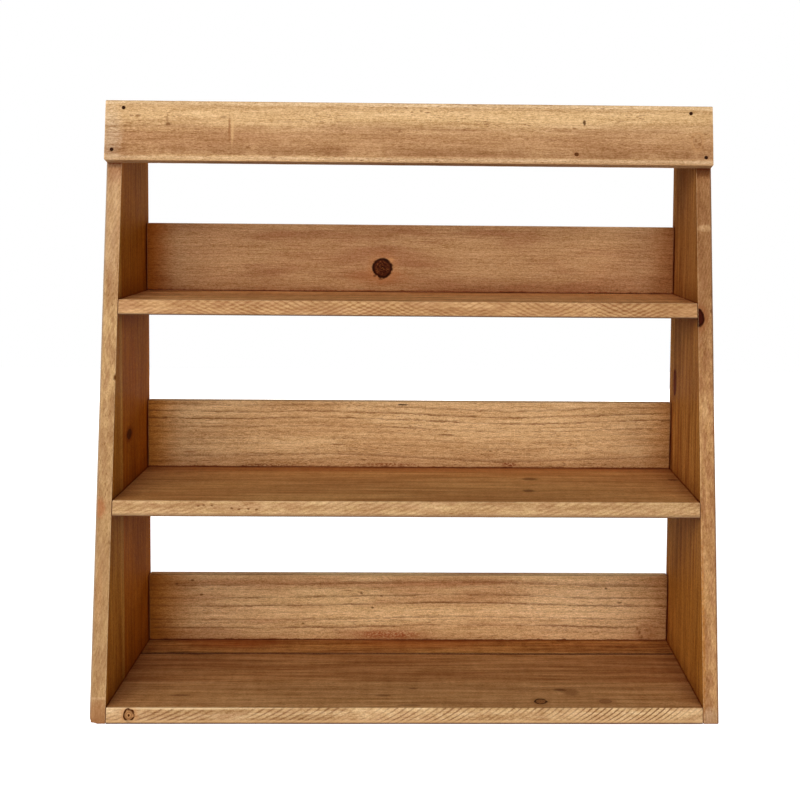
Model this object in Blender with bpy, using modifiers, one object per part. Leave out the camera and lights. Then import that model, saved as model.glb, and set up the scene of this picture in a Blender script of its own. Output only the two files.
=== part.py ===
"""Wooden merchandiser display rack: three open bays between two tapered side panels.

Every board is planed softwood, butt jointed and nailed. Sizes are in metres with +Z up. The origin is in
the middle of the footprint, on the floor. The customer stands on the -Y side, with +X to the right.
"""

import math

import bmesh
import bpy
from mathutils import Vector

# Overall form
RACK_WIDTH = 0.600  # over the outer faces of the side panels
BASE_DEPTH = 0.250  # side panels, along the floor
TOP_DEPTH = 0.135  # side panels, along their top edge
BAY_HEIGHT = 0.177  # clear height from a shelf to the board above it
BAYS = ("bottom", "middle", "top")

# Boards
PANEL_THICKNESS = 0.015
SHELF_THICKNESS = 0.015
RAIL_THICKNESS = 0.015
RAIL_HEIGHT = 0.072
RAIL_END_GAP = 0.0015  # each back rail stops this far short of the panels
HEADER_THICKNESS = 0.015
HEADER_HEIGHT = 0.060  # measured up the rake
REAR_BOARD_WIDTH = 0.066  # the rear one of the two boards in the bottom shelf
OPEN_JOINT = 0.0012  # gap between those two boards
BOARD_ARRIS = 0.0008  # eased edges
HEADER_ARRIS = 0.0014
ARRIS_SEGMENTS = 2
SEAT_GAP = 0.0003  # between boards that meet

# Nails
NAIL_BITE = 0.016  # how far a nail runs into the board behind
NAIL_SHANK_DIAMETER = 0.0018
NAIL_HEAD_DIAMETER = 0.0032
NAIL_HEAD_THICKNESS = 0.0010
NAIL_POINT_LENGTH = 0.0030
NAIL_SET_DEPTH = 0.0010  # head below the face of the wood
NAIL_CLEARANCE = 0.0003  # all round, between nail and wood
NAIL_SIDES = 12
SHELF_NAIL_INSET = 0.030  # from a shelf's front and rear edges
REAR_BOARD_NAIL_INSET = 0.016  # from both edges of the narrow rear board
RAIL_NAIL_INSET = 0.016  # from a back rail's upper and lower edges
UPPER_NAIL_SETBACK = {"left": 0.003, "right": 0.007}  # inwards from the panel's inner face
LOWER_NAIL_RISE = {"left": 0.0105, "right": 0.0080}  # up from the header's lower edge
CUTTER_OVERRUN = 0.0010  # a hole's cutter stands this far out of the wood

# Mesh tolerances
WELD_DISTANCE = 1e-6
FLAT_ANGLE = math.radians(1)  # faces closer than this in angle are one flat face
SHARP_ANGLE = math.radians(40)  # round pieces are shaded smooth below this

# Finishes, as display colours
WOOD_ROUGHNESS = 0.62
WOOD_COLOURS = {
    "left_panel": (0.66, 0.46, 0.28),
    "right_panel": (0.70, 0.51, 0.32),
    "bottom_shelf_front_board": (0.66, 0.48, 0.30),
    "bottom_shelf_rear_board": (0.66, 0.43, 0.25),
    "middle_shelf": (0.68, 0.49, 0.31),
    "top_shelf": (0.69, 0.49, 0.31),
    "top_board": (0.70, 0.51, 0.33),
    "bottom_back_rail": (0.72, 0.53, 0.34),
    "middle_back_rail": (0.74, 0.54, 0.34),
    "top_back_rail": (0.70, 0.48, 0.31),
    "header_board": (0.79, 0.61, 0.41),
}
NAIL_COLOUR = (0.25, 0.22, 0.20)
NAIL_ROUGHNESS = 0.45

# Places that follow from the sizes
SIDES = {"left": -1, "right": 1}
QUARTER_TURN = math.radians(90)
HALF_WIDTH = RACK_WIDTH / 2
INNER_HALF_WIDTH = HALF_WIDTH - PANEL_THICKNESS
BACK = BASE_DEPTH / 2
SHELF_PITCH = BAY_HEIGHT + SHELF_THICKNESS
PANEL_HEIGHT = len(BAYS) * SHELF_PITCH + SHELF_THICKNESS
SHELF_LENGTH = 2 * (INNER_HALF_WIDTH - SEAT_GAP)
RAIL_LENGTH = 2 * (INNER_HALF_WIDTH - RAIL_END_GAP)
RAKE = math.atan2(BASE_DEPTH - TOP_DEPTH, PANEL_HEIGHT)
UP_THE_RAKE = Vector((0, math.sin(RAKE), math.cos(RAKE)))
OUT_OF_THE_RAKE = Vector((0, -math.cos(RAKE), math.sin(RAKE)))


def front_at(height):
    """The Y of the panels' raked front edges at a height above the floor."""
    return height * math.tan(RAKE) - BASE_DEPTH / 2


# The header's lower rear edge, just clear of the raked front edges
HEADER_FOOT = (Vector((0, front_at(PANEL_HEIGHT), PANEL_HEIGHT))
               - UP_THE_RAKE * HEADER_HEIGHT + OUT_OF_THE_RAKE * SEAT_GAP)


def clear_scene():
    for item in list(bpy.data.objects):
        bpy.data.objects.remove(item, do_unlink=True)


def new_collection(name):
    collection = bpy.data.collections.new(name)
    bpy.context.scene.collection.children.link(collection)
    return collection


clear_scene()
PARTS = new_collection("wooden_merchandiser_display_rack")
CUTTERS = new_collection("nail_hole_cutters")
ROOT = bpy.data.objects.new("rack_root", None)
PARTS.objects.link(ROOT)


def new_material(name, colour, roughness, metallic):
    """A plain finish. Shaders take linear colours, so the display colour is converted."""
    linear = [((channel + 0.055) / 1.055) ** 2.4 for channel in colour]
    material = bpy.data.materials.new(name)
    material.use_nodes = True
    material.diffuse_color = (*linear, 1)
    shader = material.node_tree.nodes["Principled BSDF"]
    shader.inputs["Base Color"].default_value = (*linear, 1)
    shader.inputs["Roughness"].default_value = roughness
    shader.inputs["Metallic"].default_value = metallic
    return material


def welded_mesh(item, name):
    """The evaluated shape of a drawing as a mesh, with its caps welded on and flat faces whole."""
    graph = bpy.context.evaluated_depsgraph_get()
    mesh = bpy.data.meshes.new_from_object(item.evaluated_get(graph), depsgraph=graph)
    mesh.name = name
    shape = bmesh.new()
    shape.from_mesh(mesh)
    bmesh.ops.remove_doubles(shape, verts=shape.verts, dist=WELD_DISTANCE)
    bmesh.ops.dissolve_limit(shape, angle_limit=FLAT_ANGLE, verts=shape.verts, edges=shape.edges)
    shape.to_mesh(mesh)
    shape.free()
    return mesh


def board(name, outline, length, location, lean=0.0, arris=BOARD_ARRIS):
    """A board with the side view of an outline of (depth, height) points, and a length along X."""
    curve = bpy.data.curves.new(name, "CURVE")
    curve.dimensions = "2D"
    curve.fill_mode = "BOTH"
    curve.extrude = length / 2
    spline = curve.splines.new("POLY")
    spline.points.add(len(outline) - 1)
    for point, (depth, height) in zip(spline.points, outline):
        point.co = (depth, height, 0, 1)
    spline.use_cyclic_u = True
    drawing = bpy.data.objects.new(name + "_outline", curve)
    PARTS.objects.link(drawing)
    # The outline's first axis runs to the back, its second up, and it is extruded across the rack
    drawing.rotation_euler = (QUARTER_TURN, lean, QUARTER_TURN)
    drawing.location = location
    bpy.context.view_layer.update()
    piece = bpy.data.objects.new(name, welded_mesh(drawing, name))
    piece.matrix_world = drawing.matrix_world.copy()
    piece.parent = ROOT
    PARTS.objects.link(piece)
    bpy.data.objects.remove(drawing)
    piece.data.materials.clear()
    piece.data.materials.append(new_material(name + "_fir", WOOD_COLOURS[name], WOOD_ROUGHNESS, 0))
    easing = piece.modifiers.new("eased_arrises", "BEVEL")
    easing.width = arris
    easing.segments = ARRIS_SEGMENTS


def rectangle(depth, height):
    """An outline whose lower rear corner is at its location."""
    return [(0, 0), (0, height), (-depth, height), (-depth, 0)]


def side_panels():
    outline = [
        (BACK, 0),
        (BACK, PANEL_HEIGHT),
        (front_at(PANEL_HEIGHT), PANEL_HEIGHT),
        (front_at(0), 0),
    ]
    for side, sign in SIDES.items():
        middle = sign * (HALF_WIDTH - PANEL_THICKNESS / 2)
        board(side + "_panel", outline, PANEL_THICKNESS, (middle, 0, 0))


def raked_shelf(name, under, rear):
    """A horizontal board between the panels, with its front edge planed to the rake."""
    over = under + SHELF_THICKNESS
    outline = [
        (rear, 0),
        (rear, SHELF_THICKNESS),
        (front_at(over), SHELF_THICKNESS),
        (front_at(under), 0),
    ]
    board(name, outline, SHELF_LENGTH, (0, 0, under))
    middle = under + SHELF_THICKNESS / 2
    places = {
        "front": (front_at(middle) + SHELF_NAIL_INSET, middle),
        "rear": (rear - SHELF_NAIL_INSET, middle),
    }
    panel_nails(name, places)


def bottom_rear_board():
    name = "bottom_shelf_rear_board"
    outline = rectangle(REAR_BOARD_WIDTH, SHELF_THICKNESS)
    board(name, outline, SHELF_LENGTH, (0, BACK, 0))
    middle = SHELF_THICKNESS / 2
    places = {
        "front": (BACK - REAR_BOARD_WIDTH + REAR_BOARD_NAIL_INSET, middle),
        "rear": (BACK - REAR_BOARD_NAIL_INSET, middle),
    }
    panel_nails(name, places)


def shelves():
    raked_shelf("bottom_shelf_front_board", 0, BACK - REAR_BOARD_WIDTH - OPEN_JOINT)
    bottom_rear_board()
    for level, name in enumerate(("middle_shelf", "top_shelf", "top_board"), start=1):
        raked_shelf(name, level * SHELF_PITCH, BACK)


def back_rails():
    """Each rail stands on edge at the back of its shelf."""
    outline = rectangle(RAIL_THICKNESS, RAIL_HEIGHT)
    for level, bay in enumerate(BAYS):
        name = bay + "_back_rail"
        foot = level * SHELF_PITCH + SHELF_THICKNESS + SEAT_GAP
        board(name, outline, RAIL_LENGTH, (0, BACK, foot))
        middle = BACK - RAIL_THICKNESS / 2
        places = {
            "lower": (middle, foot + RAIL_NAIL_INSET),
            "upper": (middle, foot + RAIL_HEIGHT - RAIL_NAIL_INSET),
        }
        panel_nails(name, places)


def header():
    """The header lies flat on the raked edges, and its nails run square to them."""
    outline = rectangle(HEADER_THICKNESS, HEADER_HEIGHT)
    board("header_board", outline, RACK_WIDTH, HEADER_FOOT, lean=RAKE, arris=HEADER_ARRIS)
    to_top_board = HEADER_HEIGHT - SHELF_THICKNESS / 2 / math.cos(RAKE)
    for side, sign in SIDES.items():
        places = {
            "upper": (INNER_HALF_WIDTH - UPPER_NAIL_SETBACK[side], to_top_board),
            "lower": (HALF_WIDTH - PANEL_THICKNESS / 2, LOWER_NAIL_RISE[side]),
        }
        for level, (across, rise) in places.items():
            face = HEADER_FOOT + UP_THE_RAKE * rise + OUT_OF_THE_RAKE * HEADER_THICKNESS
            face.x = sign * across
            nail(f"header_nail_{side}_{level}", HEADER_NAIL, face, (QUARTER_TURN - RAKE, 0, 0))


def panel_nails(name, places):
    """Nails through both side panels into the ends of a board, at (depth, height) places."""
    for side, sign in SIDES.items():
        for place, (depth, height) in places.items():
            face = (sign * HALF_WIDTH, depth, height)
            nail(f"{name}_nail_{side}_{place}", PANEL_NAIL, face, (0, sign * QUARTER_TURN, 0))


def turned(name, profile):
    """A mesh turned about Z from a profile of (radius, height) points that runs down its outer side."""
    mesh = bpy.data.meshes.new(name + "_profile")
    points = [(radius, 0, height) for radius, height in profile]
    mesh.from_pydata(points, [(i, i + 1) for i in range(len(points) - 1)], [])
    drawing = bpy.data.objects.new(name + "_profile", mesh)
    CUTTERS.objects.link(drawing)
    turning = drawing.modifiers.new("turning", "SCREW")
    turning.steps = NAIL_SIDES
    turning.render_steps = NAIL_SIDES
    turning.use_merge_vertices = True
    turning.merge_threshold = WELD_DISTANCE
    bpy.context.view_layer.update()
    solid = welded_mesh(drawing, name)
    bpy.data.objects.remove(drawing)
    solid.shade_smooth()
    solid.set_sharp_from_angle(angle=SHARP_ANGLE)
    return solid


def nail_shapes(name, through):
    """The nail for a first board of a thickness, and its hole. +Z points out of the wood's face."""
    shank = NAIL_SHANK_DIAMETER / 2
    head = NAIL_HEAD_DIAMETER / 2
    neck = -NAIL_SET_DEPTH - NAIL_HEAD_THICKNESS
    tip = -through - NAIL_BITE
    profile = [
        (0, -NAIL_SET_DEPTH),
        (head, -NAIL_SET_DEPTH),
        (head, neck),
        (shank, neck),
        (shank, tip + NAIL_POINT_LENGTH),
        (0, tip),
    ]
    hole = [
        (0, CUTTER_OVERRUN),
        (head + NAIL_CLEARANCE, CUTTER_OVERRUN),
        (head + NAIL_CLEARANCE, neck - NAIL_CLEARANCE),
        (shank + NAIL_CLEARANCE, neck - NAIL_CLEARANCE),
        (shank + NAIL_CLEARANCE, tip - NAIL_CLEARANCE),
        (0, tip - NAIL_CLEARANCE),
    ]
    solid = turned(name, profile)
    solid.materials.append(new_material(name + "_steel", NAIL_COLOUR, NAIL_ROUGHNESS, 1))
    return solid, turned(name + "_hole", hole)


def nail(name, shapes, face, rotation):
    """A nail at a point on a board's face, and the cutter for its hole."""
    piece = bpy.data.objects.new(name, shapes[0])
    PARTS.objects.link(piece)
    cutter = bpy.data.objects.new(name + "_hole", shapes[1])
    cutter.hide_render = True
    cutter.display_type = "WIRE"
    CUTTERS.objects.link(cutter)
    for item in (piece, cutter):
        item.location = face
        item.rotation_euler = rotation
        item.parent = ROOT


def drill_boards():
    """Every board loses the wood where a nail runs through it."""
    for name in WOOD_COLOURS:
        holes = PARTS.objects[name].modifiers.new("nail_holes", "BOOLEAN")
        holes.operation = "DIFFERENCE"
        holes.operand_type = "COLLECTION"
        holes.collection = CUTTERS


PANEL_NAIL = nail_shapes("panel_nail", PANEL_THICKNESS)
HEADER_NAIL = nail_shapes("header_nail", HEADER_THICKNESS + SEAT_GAP)
side_panels()
shelves()
back_rails()
header()
drill_boards()
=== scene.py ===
"""Looks of a wooden merchandiser display rack: planed fir boards and set nails, in a white studio.

Lengths are metres in the rack's own frame. On a board, places are millimetres instead: along the grain,
across it from one edge of the board, and into the wood from its best face.
"""

import math
from dataclasses import dataclass
from itertools import product

import bmesh
import bpy
from mathutils import Matrix, Vector, noise


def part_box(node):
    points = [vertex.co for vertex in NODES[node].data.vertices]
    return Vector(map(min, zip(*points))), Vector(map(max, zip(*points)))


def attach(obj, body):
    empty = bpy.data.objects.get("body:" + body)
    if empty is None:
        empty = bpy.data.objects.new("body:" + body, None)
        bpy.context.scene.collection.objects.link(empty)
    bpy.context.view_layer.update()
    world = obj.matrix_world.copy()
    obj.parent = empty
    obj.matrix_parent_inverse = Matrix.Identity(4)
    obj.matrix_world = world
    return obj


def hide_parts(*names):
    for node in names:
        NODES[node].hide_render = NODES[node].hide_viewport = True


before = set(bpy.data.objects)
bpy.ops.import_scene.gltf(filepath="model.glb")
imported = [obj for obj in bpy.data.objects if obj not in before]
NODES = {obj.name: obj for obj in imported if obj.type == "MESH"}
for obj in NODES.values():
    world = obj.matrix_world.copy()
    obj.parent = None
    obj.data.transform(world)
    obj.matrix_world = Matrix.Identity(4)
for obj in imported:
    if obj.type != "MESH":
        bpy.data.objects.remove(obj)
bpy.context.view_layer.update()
MM = 0.001

# Camera, at the photograph's viewing angle
CAMERA_PLACE = (0.0197, -1.5912, 0.4981)
CAMERA_PAN = math.radians(-1.523)
CAMERA_TILT = math.radians(4.361)
CAMERA_ROLL = math.radians(0.522)
CAMERA_SENSOR = 36.0
CAMERA_LENS = 70.74
CAMERA_SHIFT = (-0.0886, -0.0991)

# Studio
FLOOR_DROP = 0.0005
FLOOR_HALF_SIZE = 3.0
FLOOR_CELLS = 24
FLOOR_TONES = ((236, 236, 236), (242, 242, 242))
FLOOR_FADE = (0.45, 1.1)  # the floor turns into the white surround between these distances
FLOOR_GLOW = 0.86
SURROUND_LIGHT = 0.03
WHITE = (1, 1, 1, 1)
LIGHT_COLOUR = (1, 0.985, 0.96)
RACK_MIDDLE = (0, 0, 0.3)

# Boards that share something
RAILS = ("bottom_back_rail", "middle_back_rail", "top_back_rail")
BOTTOM_BOARDS = ("bottom_shelf_front_board", "bottom_shelf_rear_board")
RAKED_SHELVES = ("bottom_shelf_front_board", "middle_shelf", "top_shelf", "top_board")

# Board surfaces, in mm
ARRIS = 0.9
ARRISES = {"header_board": 1.2, **dict.fromkeys(BOTTOM_BOARDS, 0.4), **dict.fromkeys(RAILS, 0.35)}
ARRIS_STEPS = 3
ARRIS_SWING = 0.45  # how far the eased edges vary, as a share
ARRIS_WAVE = (14.0, 9.0, 5.0)  # the lengths over which they vary
ARRIS_BEYOND = 1.2  # a line of cells just past an eased edge
RAKED_EDGE_LINES = (2.4, 3.8, 5.6)  # further lines of cells beside a raked edge
RAIL_LONGER = 0.9  # torn fibres bring a rail's ends this much closer to the panels
TEAR_WAVES = (9.0, 3.4)  # coarse and fine tears at a rail's foot
PLANING_DEPTH = 0.14
PLANING_WAVE = (75.0, 24.0, 24.0)
CELL_ALONG = 7.0
CELL_ACROSS = 6.0
CELL_THROUGH = 4.0
FINE_CELL = 1.1
KNOT_MARGIN = 1.4  # how far fine cells reach from a knot's heart, in sizes of the knot
NICK_MARGIN = 1.2
NICK_RAGGED = 0.3
NICK_WAVE = 0.9
DOME_END = 0.9  # where a standing knot's dome ends, in sizes of the knot
RING_DEPTH = 1.6  # the ring round it, in heights of the dome
RING_WIDTH = 0.16
SHARP_ANGLE = math.radians(40)
SEED_STEP = 4.0  # keeps the boards' waves and patterns apart

# Tones and strengths that boards share
SPECK = (130, 82, 42)
PIT = (110, 66, 34)
# painted shade in the gap between the two bottom boards
JOINT_GAP_SHADE = (56, 22, 6)
WEAR_AND_HIGHLIGHT = (226, 188, 140)
TORN_FOOT_SHADE = (104, 44, 16)
TORN_SHADE_STRENGTH = 0.8
TEAR_SWAY = 7.0
# painted shade under a bevelled board
UNDER_SHADE_LINE = (84, 50, 30)
UNDER_SHADE_STRENGTH = 0.85
LIP_STRENGTH = 0.8
SAWN_LIGHT = (232, 192, 138)
SAW_BOW = 0.035
SAW_ROUGH = 2.6
SAW_GROWS = (100.0, 560.0)  # saw marks grow stronger between these places along the board
FACTOR_POWERS = (0.8, 1.05, 1.45)  # how much red, green and blue follow light and dark wood
EDGE_FADE = (-1.4, -0.4)  # a raked edge's tones come in between these distances from it
OUTSIDE_FADE = (0.6, 1.6)  # a panel's outer tones come in between these depths
OUTSIDE_CALM = 0.5  # how much plainer a panel's outer face is than its inner one
END_SHADE_SHARES = (1.0, 0.45)  # how strong the painted shade at a rail's left and right end is
END_SHADE_DEPTH = (4.0, 9.0)  # it fades out between these depths
BAND_SWAY = 5.0
KNOT_ROUGH = 0.45
KNOT_RINGS = 17.0
WOOD_ROUGHNESS = (0.62, 0.5)
WOOD_SPECULAR = 0.02
WOOD_BUMP = 0.5
WOOD_BUMP_HEIGHT = 0.0003  # metres

# Painted shade in the joints between boards, and dark seams in them that are partly dirty wood and partly
# painted shade
JOINT_REACH = 0.035  # metres
JOINT_SAMPLES = 8
JOINT_FADE = (0.4, 0.95)
# painted shade: how strongly the joints are darkened
JOINT_SHADE_STRENGTH = 0.55
JOINT_SHADE_TINT = (178, 132, 84)
SEAM_REACH = 0.004
SEAM_FADE = (0.4, 0.8)
# tone of the dark seams, partly dirt and partly painted shade
SEAM_DIRT_AND_SHADE = (118, 35, 2)
SEAM_STRENGTH = 0.9

# Nails, in metres
NAIL_HOLE_DEPTH = 0.0023
NAIL_CLEARANCE = 0.0003
NAIL_HOLE_SIDES = 20
HOLE_OVERRUN = 0.001
NAIL_TONES = ((36, 18, 8), (54, 28, 12))
NAIL_RUST = (60, 30, 16)


# Patterns in the wood


@dataclass(frozen=True)
class Pattern:
    """Cloudy noise, with the size of its lumps along, across and into the wood, in mm."""
    size: tuple
    detail: float
    roughness: float
    shift: int = 0  # keeps it apart from other patterns
    low: float = 0.25  # noise below this counts as none
    high: float = 0.75  # noise above this counts as full


SLOW_TONES = Pattern((150, 20, 20), 3, 0.6, 0, 0.36, 0.64)
LONG_TONES = Pattern((420, 16, 16), 3, 0.6, 61, 0.22, 0.78)
BLOTCHES = Pattern((24, 24, 7), 3, 0.65, 29, 0.36, 0.64)
BAND_WAVES = Pattern((140, 40, 40), 2, 0.5, 2)
SLOW_BENDS = Pattern((170, 55, 55), 2, 0.45)
QUICK_BENDS = Pattern((13, 4, 4), 2, 0.55, 3)
FINE_BENDS = Pattern((4.2, 2.4, 2.4), 2, 0.6, 47)
LINE_BREAKS = Pattern((42, 400, 400), 4, 0.75, 0, 0.34, 0.6)
RING_BREAKS = Pattern((110, 18, 18), 1, 0.5, 5, 0.3, 0.65)
FIGURE = Pattern((95, 7, 7), 3, 0.6, 37)
STREAKS = Pattern((34, 1.6, 1.6), 3, 0.65, 7)
FIBRES = Pattern((4.6, 0.95, 0.95), 2, 0.6, 13)
SPECKLE = Pattern((1.5, 1.0, 1.0), 1, 0.5, 41)
CLOUDS = Pattern((10, 46, 46), 3, 0.6, 53, 0.3, 0.7)
CURLS = Pattern((5, 5, 2.6), 3, 0.7, 43, 0.3, 0.7)
PORES = Pattern((5.5, 0.9, 0.9), 1, 0.5, 17, 0.6, 0.7)
PORE_GROUPS = Pattern((90, 14, 14), 1, 0.5, 19, 0.38, 0.64)
RAGGED = Pattern((2.4, 1.6, 1.6), 2, 0.55, 11, 0.35, 0.6)
OUTLINE_BREAKS = Pattern((3.5, 3.5, 3.5), 1, 0.5, 0, 0.34, 0.5)
CRACKS = Pattern((4.5, 2.6, 2.6), 2, 0.6)
SAW_PATCHES = Pattern((45, 45, 25), 1, 0.5, 23, 0.35, 0.65)
SAW_STRAYS = Pattern((24, 24, 24), 2, 0.6, 59)
TEARS = Pattern((8, 30, 30), 3, 0.7, 31)


# What each board looks like


@dataclass
class Knot:
    """A knot seen end on. Its axis runs into the wood, or across the board for one on its edge."""
    place: tuple
    size: tuple
    heart: tuple = (84, 46, 38)
    rim: tuple = (58, 28, 24)
    halo: tuple = (214, 150, 92)
    on_edge: bool = False
    dome: float = 0.0  # how far it stands proud
    push: float = 0.8  # how far growth lines bend round it
    strength: float = 1.0
    halo_strength: float = 0.4
    outline: float = 0.9
    outline_width: float = 0.2
    pith: float = 0.0  # how dark the middle is
    crack: float = 0.0  # how light the cracks in the heart are
    reach: float = 30.0  # how far it goes into the wood


@dataclass
class Mark:
    """A small stain, a spot of painted shade under a rail's torn foot, a broad change of tone, or a stain on
    the raked edge alone. A few stains are painted shade and painted highlights, noted where they are listed.
    """
    place: tuple
    size: tuple
    tone: tuple = PIT
    strength: float = 0.8
    kind: str = "stain"  # or torn, or broad or edge, which lie under the grain


@dataclass
class Nick:
    """Wood missing from an edge."""
    place: tuple
    size: tuple
    depth: float


@dataclass
class Look:
    """A board's tones, grain, knots and marks."""
    light: tuple
    deep: tuple
    line: tuple
    edge: tuple = ()  # light and deep tones of a raked edge, where they differ
    edge_outside: bool = False  # the outer face has these tones too
    edge_calm: float = 0.0  # how much plainer a raked edge is than the faces
    mottle: float = 0.0  # how curly a raked edge's grain is
    ends: tuple = ()  # tone of the painted shade at the board's two ends
    end_shade_reach: float = 34.0  # length over which it fades
    bands: tuple = ()  # stretches of the width: start, end, softness, tone and strength
    lines: tuple = ()  # growth lines: place, soft side before it, sharp side past it, and strength
    lean: float = 0.6  # how far they run across for each step into the wood
    ring: float = 7.0  # distance between growth lines, where none are placed
    line_at: float = 10.0  # across the board, where one of them lies
    pith: tuple = (-160.0, 60.0)  # the tree's centre, across the board and into the wood
    line_share: float = 0.4
    line_strength: float = 0.28
    jitter: float = 1.3  # how far growth lines shake within a few mm
    wander: float = 8.0  # how far they shift over the board's length
    sag: tuple = (0.0, 100.0, 0.0)  # place, length and depth of a dip in them
    grain: tuple = (0.08, 0.16, 0.2, 0.18)  # strengths of figure, streaks, fibres, speckle and clouds
    dash: float = 0.5  # strength of the pores
    saw: tuple = ()  # saw marks on a raked edge: strength, spacing, slant and closing up
    saw_thin: float = 0.1  # from 0 for broad saw marks to 1 for thin ones
    saw_sway: float = 1.0  # how far they stray from even spacing
    wear_and_highlight: float = 0.55  # how pale eased edges are, from wear and a painted highlight
    lip: tuple = ()  # darker tone along a raked edge's far arris
    lip_reach: float = 2.2
    # how far a rail's foot is torn, which also brings a painted shade line along it
    torn_foot: float = 0.0
    pale_foot: float = 0.0  # a lighter strip at the foot of a raked edge
    knots: tuple = ()
    marks: tuple = ()
    nicks: tuple = ()


def specks(*rows, thick=2):
    """Marks on a board's best face: stains, and a few marks of painted shade and painted highlight. Each row
    is along, across, length, width, tone and strength.
    """
    return [Mark((along, across, 0), (length, width, thick), tone, strength)
            for along, across, length, width, tone, strength in rows]


def reach_of(node, axis):
    """Lowest and highest place of a CAD node along an axis."""
    places = [vertex.co.dot(axis) for vertex in NODES[node].data.vertices]
    return min(places), max(places)


RIGHT = Vector((1, 0, 0))
BACK = Vector((0, 1, 0))
UP = Vector((0, 0, 1))

# Darker strips on the panels' inner faces beside the rails' ends
RAIL_MIDDLES = [sum(reach_of(name, UP)) / 2 / MM for name in RAILS]
RAIL_END_STRIPS = specks(*((middle, 17, 44, 4.5, (96, 26, 2), 0.75) for middle in RAIL_MIDDLES), thick=3)

LOOKS = {}
LOOKS["header_board"] = Look(
    light=(205, 164, 117), deep=(185, 142, 100), line=(128, 80, 44),
    bands=(
        (-5, 22, 7, (217, 179, 129), 0.6), (30, 51, 7, (164, 114, 76), 0.5),
        (-5, 0.7, 0.5, (172, 144, 114), 0.55), (1.2, 4, 0.9, (228, 197, 158), 0.5),
        # this band along the bottom arris is a painted highlight
        (55.6, 58.6, 0.9, (216, 184, 146), 0.4)),
    lines=(
        (7, 6, 1, 0.25), (21, 4, 0.9, 0.2), (27, 8, 1.5, 0.35), (33, 3, 1, 0.3), (36.5, 3, 1, 0.25),
        (40, 4, 1, 0.3), (45, 4, 1, 0.3), (52.5, 22, 2.5, 0.6)),
    wander=1.6, grain=(0.1, 0.16, 0.2, 0.18), dash=0.75,
    marks=(
        Mark((5, 34, 0), (13, 32, 20), (208, 178, 144), 0.55, "broad"),
        *specks(
            (61, 18, 1.4, 4.5, (140, 92, 52), 0.6), (62, 23.5, 3.6, 1.9, (112, 68, 34), 0.75),
            (32.5, 15.5, 3, 1.6, SPECK, 0.7), (26, 15.5, 2.2, 1.4, SPECK, 0.6),
            (20, 26, 2.4, 1.4, SPECK, 0.6), (94, 37.5, 4.5, 1.4, SPECK, 0.5),
            (116, 16, 3.4, 1.8, (136, 90, 48), 0.6), (122, 28, 1.3, 16, (146, 94, 54), 0.6),
            (125, 30, 1.6, 14, (222, 178, 126), 0.5), (472, 18, 1.7, 3.2, (88, 54, 28), 0.9),
            (462, 24, 2, 1.4, SPECK, 0.7), (166, 56, 3, 1.4, SPECK, 0.6),
            (579.5, 31.5, 1.8, 1.5, (120, 70, 36), 0.7), (582.5, 35, 1.5, 2.2, (130, 80, 42), 0.6),
            (586, 38.5, 2.2, 1.5, (130, 80, 42), 0.6), (589, 41.5, 1.6, 1.8, (120, 70, 36), 0.7)),
        # painted shade along the header's underside
        Mark((285, 60, 8.5), (420, 1.2, 7.5), (120, 76, 44), 0.5),
    ),
    knots=(
        Knot((464, 50, 0), (2.2, 1.9), (96, 54, 26), (84, 44, 20), (160, 98, 56), push=0.4, outline=0.4),
        Knot((584, 36, 0), (4.2, 7), rim=(128, 76, 40), halo=(190, 140, 92),
             strength=0, outline=0.3, push=0),
    ),
)
LOOKS["top_back_rail"] = Look(
    light=(183, 141, 98), deep=(161, 112, 76), line=(112, 64, 36), ends=(166, 96, 32), end_shade_reach=38,
    ring=3.4, line_at=5, pith=(260, 120), line_share=0.6, line_strength=0.22, wander=6, torn_foot=1.6,
    knots=(
        Knot((253.4, 46.5, 0), (10.3, 10.3), (68, 28, 12), (40, 14, 4), (190, 116, 60),
             dome=0.25, crack=0.8, pith=0.7, halo_strength=0.2),
    ),
    marks=(
        Mark((540, 36, 0), (90, 60, 20), (197, 154, 109), 0.45, "broad"),
        Mark((60, 36, 0), (50, 60, 20), (195, 150, 106), 0.5, "broad"),
        *specks((250, 56, 40, 10, (156, 88, 48), 0.4), (262, 38, 4, 3, (222, 164, 104), 0.4), thick=3),
        *specks((245, 55, 2, 1.6, (60, 30, 18), 0.8), (251, 58.5, 3, 1.4, (80, 40, 22), 0.7)),
    ),
)
LOOKS["middle_back_rail"] = Look(
    light=(215, 175, 126), deep=(200, 157, 109), line=(112, 64, 28), ends=(192, 130, 58), end_shade_reach=44,
    lines=(
        (5, 4, 1, 0.5), (12, 3.4, 0.9, 0.75), (19, 3.4, 0.9, 0.8), (24, 3, 0.8, 0.3), (28, 3.4, 0.9, 0.6),
        (34, 4, 0.9, 0.3), (41, 5, 0.9, 0.35), (47, 4, 0.9, 0.3), (53, 4, 0.9, 0.22), (60, 5, 0.9, 0.5),
        (66, 4, 0.8, 0.25)),
    jitter=3.2, wander=3, sag=(392, 85, -5), grain=(0.08, 0.16, 0.22, 0.2), dash=0.65, torn_foot=1.6,
    marks=(
        Mark((392, 68.5, 0), (11, 2.6, 2), (128, 56, 28), 0.8, "torn"),
        *specks((276, 3.2, 7, 1, (58, 34, 20), 0.9)),
        Mark((264, 69, 0), (42, 2.4, 2), (140, 74, 40), 0.6, "torn"),
        Mark((130, 70, 0), (40, 1.6, 2), (120, 66, 36), 0.6, "torn"),
        *specks((205, 47, 11, 0.8, (124, 78, 42), 0.8), (324, 36, 11, 0.9, (124, 78, 42), 0.8),
                (45, 56, 9, 1.6, (150, 96, 56), 0.6)),
    ),
)
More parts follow.
